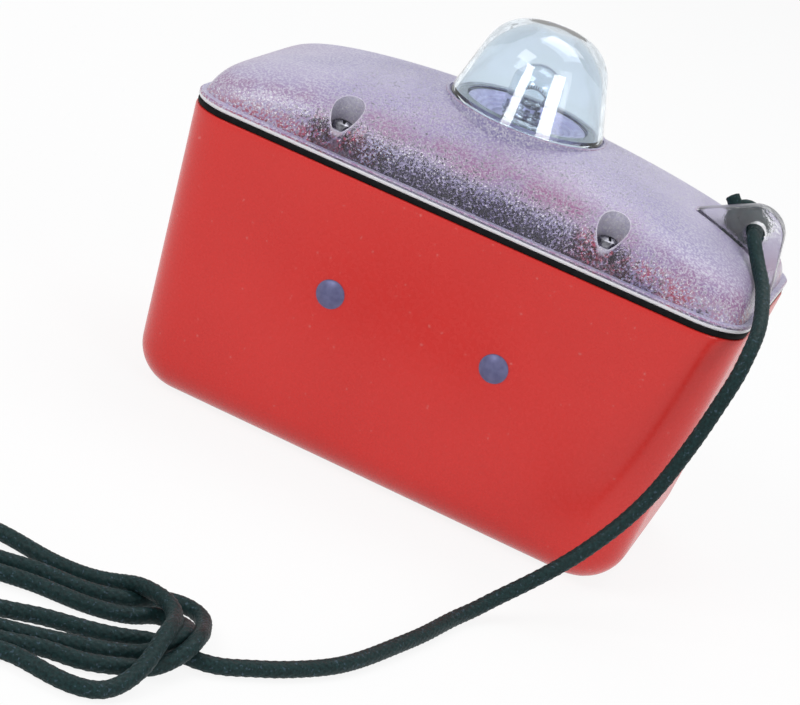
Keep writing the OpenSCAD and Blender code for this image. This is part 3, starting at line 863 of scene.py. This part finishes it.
def make_lid():
    """Crown on a stepped rim, joined to collar and lug, hollowed round the bosses and cut open."""
    rings, ledge = crown_rings(0, LID_Z + RIM_T / 2), LID_Z + RIM_T
    above = next(k for k, ring in enumerate(rings) if ring[0][2] > ledge)
    low, high = rings[above - 1], rings[above]
    foot = low + (high - low) * (ledge - low[0][2]) / (high[0][2] - low[0][2])
    crown = [foot] + rings[above:]
    soft = 0.3
    rim = [
        rim_ring(soft, LID_Z, crown[0]), rim_ring(0, LID_Z + soft, crown[0]),
        rim_ring(0, LID_Z + RIM_T - soft, crown[0]), rim_ring(soft, LID_Z + RIM_T, crown[0]),
    ]
    lid = loft("lid_shell", rim + crown)
    boolean(lid, make_collar(), "UNION")
    boolean(lid, make_lug(), "UNION")
    hollow = loft("hollow", crown_rings(LID_WALL, LID_Z - 1))
    for x, y in at_screws():
        boolean(hollow, prism("boss", circle(BOSS_R, 48, (x, y)), LID_Z - 2, CROWN_Z), "DIFFERENCE")
    boolean(lid, hollow, "DIFFERENCE")
    boolean(lid, prism("opening", circle(LENS_R - SEAT_W, 128), LID_Z, SEAT_Z + 3), "DIFFERENCE")
    boolean(lid, prism("seat", circle(LENS_R + 0.3, 128), SEAT_Z, SEAT_Z + 3), "DIFFERENCE")
    for x, y in at_screws():
        boolean(lid, prism("well", circle(WELL_R, 48, (x, y)), WELL_Z, CROWN_Z + 2), "DIFFERENCE")
        boolean(lid, prism("hole", circle(SCREW_R + 0.3, 32, (x, y)), LID_Z - 1, WELL_Z + 1), "DIFFERENCE")
    eye = prism("eye", circle(EYE_R, 48), -LUG_T, LUG_T)
    place(eye, (EYE_X, 0, EYE_Z), Matrix.Rotation(math.radians(90), 3, "X"))
    boolean(lid, eye, "DIFFERENCE")
    return smooth(lid, 32)


dress(make_lid(), FROSTED, "frosted_clear", "lid")


# Lens: leaning wall, shoulder arc and flat top, with a spigot in the lid

def lens_side(radius, height, shoulder):
    """Section (r, z) of the dome from its foot to the middle of its top."""
    wall = (height - shoulder + shoulder * math.sin(LENS_LEAN)) / math.cos(LENS_LEAN)
    x = radius - wall * math.sin(LENS_LEAN) - shoulder * math.cos(LENS_LEAN)
    turn = arc((x, height - shoulder), shoulder, math.degrees(LENS_LEAN), 90, 24)
    return [(radius, 0)] + turn + [(0, height)]


def make_lens():
    """Dome with an even skin, and a film of air under its foot."""
    film, skin = 0.06, 1.1
    spigot = LENS_R - SEAT_W - 0.1
    bore = spigot - LENS_WALL
    outside = lens_side(LENS_R, LENS_H, LENS_SHOULDER_R)
    inside = lens_side(LENS_R - skin, LENS_H - skin, LENS_SHOULDER_R + 2)
    foot = [(bore, -SPIGOT_H), (spigot, -SPIGOT_H), (spigot, film)]
    foot += [(LENS_R - 0.3, film), (LENS_R, 0.4)]
    flange = [(LENS_R - skin - skin * math.tan(LENS_LEAN), skin), (bore, skin)]
    lens = lathe("lens_dome", foot + outside[1:] + inside[::-1][:-1] + flange, 128)
    place(lens, (0, 0, SEAT_Z))
    return smooth(lens, 30)


lens_dome = dress(make_lens(), LENS, "clear_lens", "lens")


# Lamp: reflector dish, brass cap, glass envelope and the wire work inside

def make_reflector():
    """A shallow dish with steps."""
    hole, flat, rise, thick = CAP_R + 0.3, CAP_R + 2.7, 2.6, 1.2
    edge, steps = REFLECTOR_R - 0.8, 4
    top = [(REFLECTOR_R, rise + thick), (edge, rise + thick)]
    for k in range(1, steps + 1):
        r = edge - k * (edge - flat) / steps
        z = thick + rise * (r - flat) / (REFLECTOR_R - flat)
        top += [(r + 0.45, z + 0.5), (r, z)]
    profile = [(hole, 0), (flat, 0), (REFLECTOR_R, rise)] + top + [(hole, thick)]
    dish = lathe("reflector_dish", profile, 96)
    place(dish, (0, 0, REFLECTOR_Z))
    return smooth(dish, 30)


def make_cap():
    """Brass cap with rings for a thread and a flange at its top."""
    low, high = node_mm("bulb_cap")
    height = high[2] - low[2]
    profile = [(0, 0), (CAP_R - 1.2, 0), (CAP_R - 0.3, 0.9)]
    for k in range(6):
        z = 1.6 + k * 1.3
        profile += [(CAP_R - 0.25, z), (CAP_R, z + 0.35), (CAP_R, z + 0.6), (CAP_R - 0.25, z + 0.95)]
    profile += [(CAP_R, height - 0.9), (CAP_R + 0.2, height - 0.6), (CAP_R + 0.2, height - 0.1)]
    profile += [(CAP_R, height), (0, height)]
    cap = lathe("lamp_cap", profile, 64)
    place(cap, (0, 0, low[2]))
    return smooth(cap, 35)


def make_envelope():
    """Thin glass with a round top and a flat foot."""
    wall, height = 0.5, BULB_HIGH[2] - BULB_LOW[2]
    neck = height - BULB_R
    outside = [(BULB_R - 0.8, 0.05), (BULB_R, 1.2)] + arc((0, neck), BULB_R, 0, 90, 20)
    inside = [(0, height - wall)] + arc((0, neck), BULB_R - wall, 90, 0, 20)
    inside += [(BULB_R - wall, 1.5), (BULB_R - 1.4, 0.7), (0, 0.7), (0, 0.05)]
    glass = lathe("lamp_envelope", outside + inside, 96)
    place(glass, (0, 0, BULB_LOW[2]))
    return smooth(glass, 35)


def make_lamp_inside():
    """Support wires, coiled filament, bead, tabs and foot ring, as one piece of wire work."""
    z = BULB_LOW[2]
    parts = []
    for side in (-1, 1):
        wire = [
            (side * 1.5, 0, z + 0.9), (side * 1.6, 0, z + 3.5),
            (side * 2.5, 0, z + 6.8), (side * 2.4, 0, z + 7.4),
        ]
        parts.append(plain_tube(spline(wire, 0.3)[0], 0.2, 10))
    turns, wide, coil_r, coil_z, sag = 9, 2.4, 0.42, 7.4, 0.9
    t = np.linspace(0, 1, turns * 16)
    coil = np.column_stack([
        -wide + 2 * wide * t, coil_r * np.cos(2 * math.pi * turns * t),
        z + coil_z + sag * np.sin(math.pi * t) + coil_r * np.sin(2 * math.pi * turns * t),
    ])
    parts.append(plain_tube(coil, 0.12, 6))
    bead = lathe("bead", [(0, 3.2), (1.0, 3.3), (2.2, 3.7), (2.3, 4.3), (1.2, 4.8), (0, 4.9)], 32)
    parts.append(place(bead, (0, 0, z)))
    tabs = 9
    for k in range(tabs):
        outline = [(4.7, -0.55), (5.1, -0.55), (5.1, 0.55), (4.7, 0.55)]
        tab = prism("tab", outline, 0.9, 2.4 + 1.3 * (k % 2))
        parts.append(place(tab, (0, 0, z), Matrix.Rotation(2 * math.pi * k / tabs, 3, "Z")))
    ring = lathe("ring", [(4.2, 0.85), (5.2, 0.85), (5.2, 1.3), (4.2, 1.3)], 48)
    parts.append(place(ring, (0, 0, z)))
    return smooth(join("lamp_wires", parts), 50)


dress(make_reflector(), REFLECTOR, "reflector", "reflector")
dress(make_cap(), BRASS, "cap_brass", "bulb_cap")
lamp_envelope = dress(make_envelope(), BULB, "bulb_glass", "bulb_glass")
dress(make_lamp_inside(), WIRE, "screw_steel")


# Screws: pan heads with a cross recess, ringed shanks

def make_screws():
    core, dome_r = SCREW_R * 0.72, 4.4
    parts = []
    for x, y in at_screws():
        profile = [(0, -SCREW_L), (SCREW_R * 0.5, -SCREW_L + 1)]
        for z in np.arange(-SCREW_L + 1.5, -1.2, 1.0):
            profile += [(core, z), (SCREW_R, z + 0.45), (core, z + 0.9)]
        profile += [(SCREW_R, -0.6), (SCREW_R, 0), (HEAD_R, 0), (HEAD_R, HEAD_H * 0.45)]
        profile += arc((0, HEAD_H - dome_r), dome_r, 58, 90, 8)
        screw = lathe("screw", profile, 40)
        for turn in (20, 110):
            outline = [(-2, -0.35), (2, -0.35), (2, 0.35), (-2, 0.35)]
            slot = prism("slot", outline, HEAD_H - 1.1, HEAD_H + 1)
            place(slot, turn=Matrix.Rotation(math.radians(turn), 3, "Z"))
            boolean(screw, slot, "DIFFERENCE")
        parts.append(place(screw, (x, y, WELL_Z)))
    return smooth(join("screw_set", parts), 35)


dress(make_screws(), STEEL, "screw_steel", "lid_screws")


# Water contacts: domed heads on the front face

def make_contact(side):
    dome = (CONTACT_R ** 2 + CONTACT_OUT ** 2) / (2 * CONTACT_OUT)
    half = math.degrees(math.asin(CONTACT_R / dome))
    crown = arc((0, CONTACT_OUT - dome), dome, 90 - half * 0.93, 90, 12)
    tip = -WALL - 3.4
    profile = [(0, tip), (CONTACT_SHANK_R, tip), (CONTACT_SHANK_R, 0), (CONTACT_R - 0.2, 0), (CONTACT_R, 0.12)]
    contact = lathe("contact", profile + crown, 64)
    nut = prism("nut", circle(2 * CONTACT_SHANK_R, 6), -WALL - 2.4, -WALL)
    boolean(contact, nut, "UNION")
    lean = math.atan(FACE_DRAFT / BOX_H)
    face_y = -(BOX_D / 2 - FACE_DRAFT * (1 - CONTACT_Z / BOX_H))
    place(contact, (side * CONTACT_X, face_y, CONTACT_Z), Matrix.Rotation(math.radians(90) + lean, 3, "X"))
    contact.name = "contact_stud_left" if side < 0 else "contact_stud_right"
    return smooth(contact, 35)


dress(make_contact(-1), CONTACT, "contact_metal", "contact_left")
dress(make_contact(1), CONTACT, "contact_metal", "contact_right")

# The hidden carrier and cells show as their CAD shapes
for name, material in (("carrier", BLACK), ("cells", JACKET)):
    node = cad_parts[name]
    node.data.materials.clear()
    node.data.materials.append(material)


# Floor, light and view

FLOOR_HALF, FLOOR_DROP = 4000, 0.0002
FLOOR_WHITE_SHARE = 0.88
SKY_STRENGTH, SKY_COLOUR = 0.45, (0.95, 0.97, 1.0, 1)


def seen_rays(tree):
    """1 for the rays that show the stage itself: camera, transmission and glossy ones."""
    rays = tree.nodes.new("ShaderNodeLightPath")
    seen = rays.outputs["Is Camera Ray"]
    for kind in ("Is Transmission Ray", "Is Glossy Ray"):
        most = tree.nodes.new("ShaderNodeMath")
        most.operation = "MAXIMUM"
        tree.links.new(seen, most.inputs[0])
        tree.links.new(rays.outputs[kind], most.inputs[1])
        seen = most.outputs[0]
    return seen


def mix_shaders(tree, factor, one, two, output):
    """Sends a mix of two shaders to the output node."""
    mix = tree.nodes.new("ShaderNodeMixShader")
    tree.links.new(factor, mix.inputs["Fac"])
    tree.links.new(one.outputs[0], mix.inputs[1])
    tree.links.new(two.outputs[0], mix.inputs[2])
    tree.links.new(mix.outputs["Shader"], tree.nodes[output].inputs["Surface"])


def make_floor():
    """A pale floor that is nearly white where it is seen and keeps its shadow."""
    mat = bpy.data.materials.new("floor")
    mat.use_nodes = True
    tree = mat.node_tree
    bsdf = tree.nodes["Principled BSDF"]
    bsdf.inputs["Base Color"].default_value = (0.9, 0.9, 0.9, 1)
    bsdf.inputs["Roughness"].default_value = 0.9
    bsdf.inputs["Specular IOR Level"].default_value = 0.1
    white = tree.nodes.new("ShaderNodeEmission")
    white.inputs["Strength"].default_value = 1.0
    share = tree.nodes.new("ShaderNodeMath")
    share.operation = "MULTIPLY"
    share.inputs[1].default_value = FLOOR_WHITE_SHARE
    tree.links.new(seen_rays(tree), share.inputs[0])
    mix_shaders(tree, share.outputs[0], bsdf, white, "Material Output")
    half = FLOOR_HALF
    corners = [(-half, -half, 0), (half, -half, 0), (half, half, 0), (-half, half, 0)]
    floor = new_object("floor", corners, [(0, 1, 2, 3)])
    floor.location.z = -FLOOR_DROP
    floor.data.materials.append(mat)


def make_world():
    """Soft light from all round, white where it is seen."""
    world = bpy.data.worlds.new("studio")
    bpy.context.scene.world = world
    world.use_nodes = True
    tree = world.node_tree
    light = tree.nodes["Background"]
    light.inputs["Color"].default_value = SKY_COLOUR
    light.inputs["Strength"].default_value = SKY_STRENGTH
    white = tree.nodes.new("ShaderNodeBackground")
    white.inputs["Strength"].default_value = 1.0
    mix_shaders(tree, seen_rays(tree), light, white, "World Output")


def area_light(name, place_at, aim_at, size, power):
    data = bpy.data.lights.new(name, "AREA")
    data.shape = "RECTANGLE"
    data.size, data.size_y = size
    data.energy = power
    lamp = bpy.data.objects.new(name, data)
    lamp.location = place_at
    lamp.rotation_euler = (Vector(aim_at) - Vector(place_at)).to_track_quat("-Z", "Y").to_euler()
    bpy.context.scene.collection.objects.link(lamp)
    return lamp


make_floor()
make_world()
BODY_AIM, LENS_AIM = (0, 0, 0.05), (0, 0, 0.1)
area_light("key", (-0.5, -0.75, 0.85), BODY_AIM, (0.5, 0.5), 5)
area_light("fill", (0.8, -0.55, 0.5), BODY_AIM, (0.4, 0.6), 2.2)
area_light("top", (0.1, 0.35, 1.0), BODY_AIM, (0.7, 0.5), 4)

# Two strips that light lens and bulb alone, for the two white streaks on the dome
STRIP_H = 0.18
STRIPS = (
    ("strip_left", (-0.169, -0.731, 0.374), 0.19, 1.6),
    ("strip_right", (0.512, -0.549, 0.374), 0.28, 2.6),
)
glass = bpy.data.collections.new("glass")
for piece in (lens_dome, lamp_envelope):
    glass.objects.link(piece)
for name, spot, wide, power in STRIPS:
    strip = area_light(name, spot, LENS_AIM, (wide, STRIP_H), power)
    strip.visible_camera = strip.visible_diffuse = False
    strip.light_linking.receiver_collection = glass

bpy.context.scene.view_settings.view_transform = "Standard"
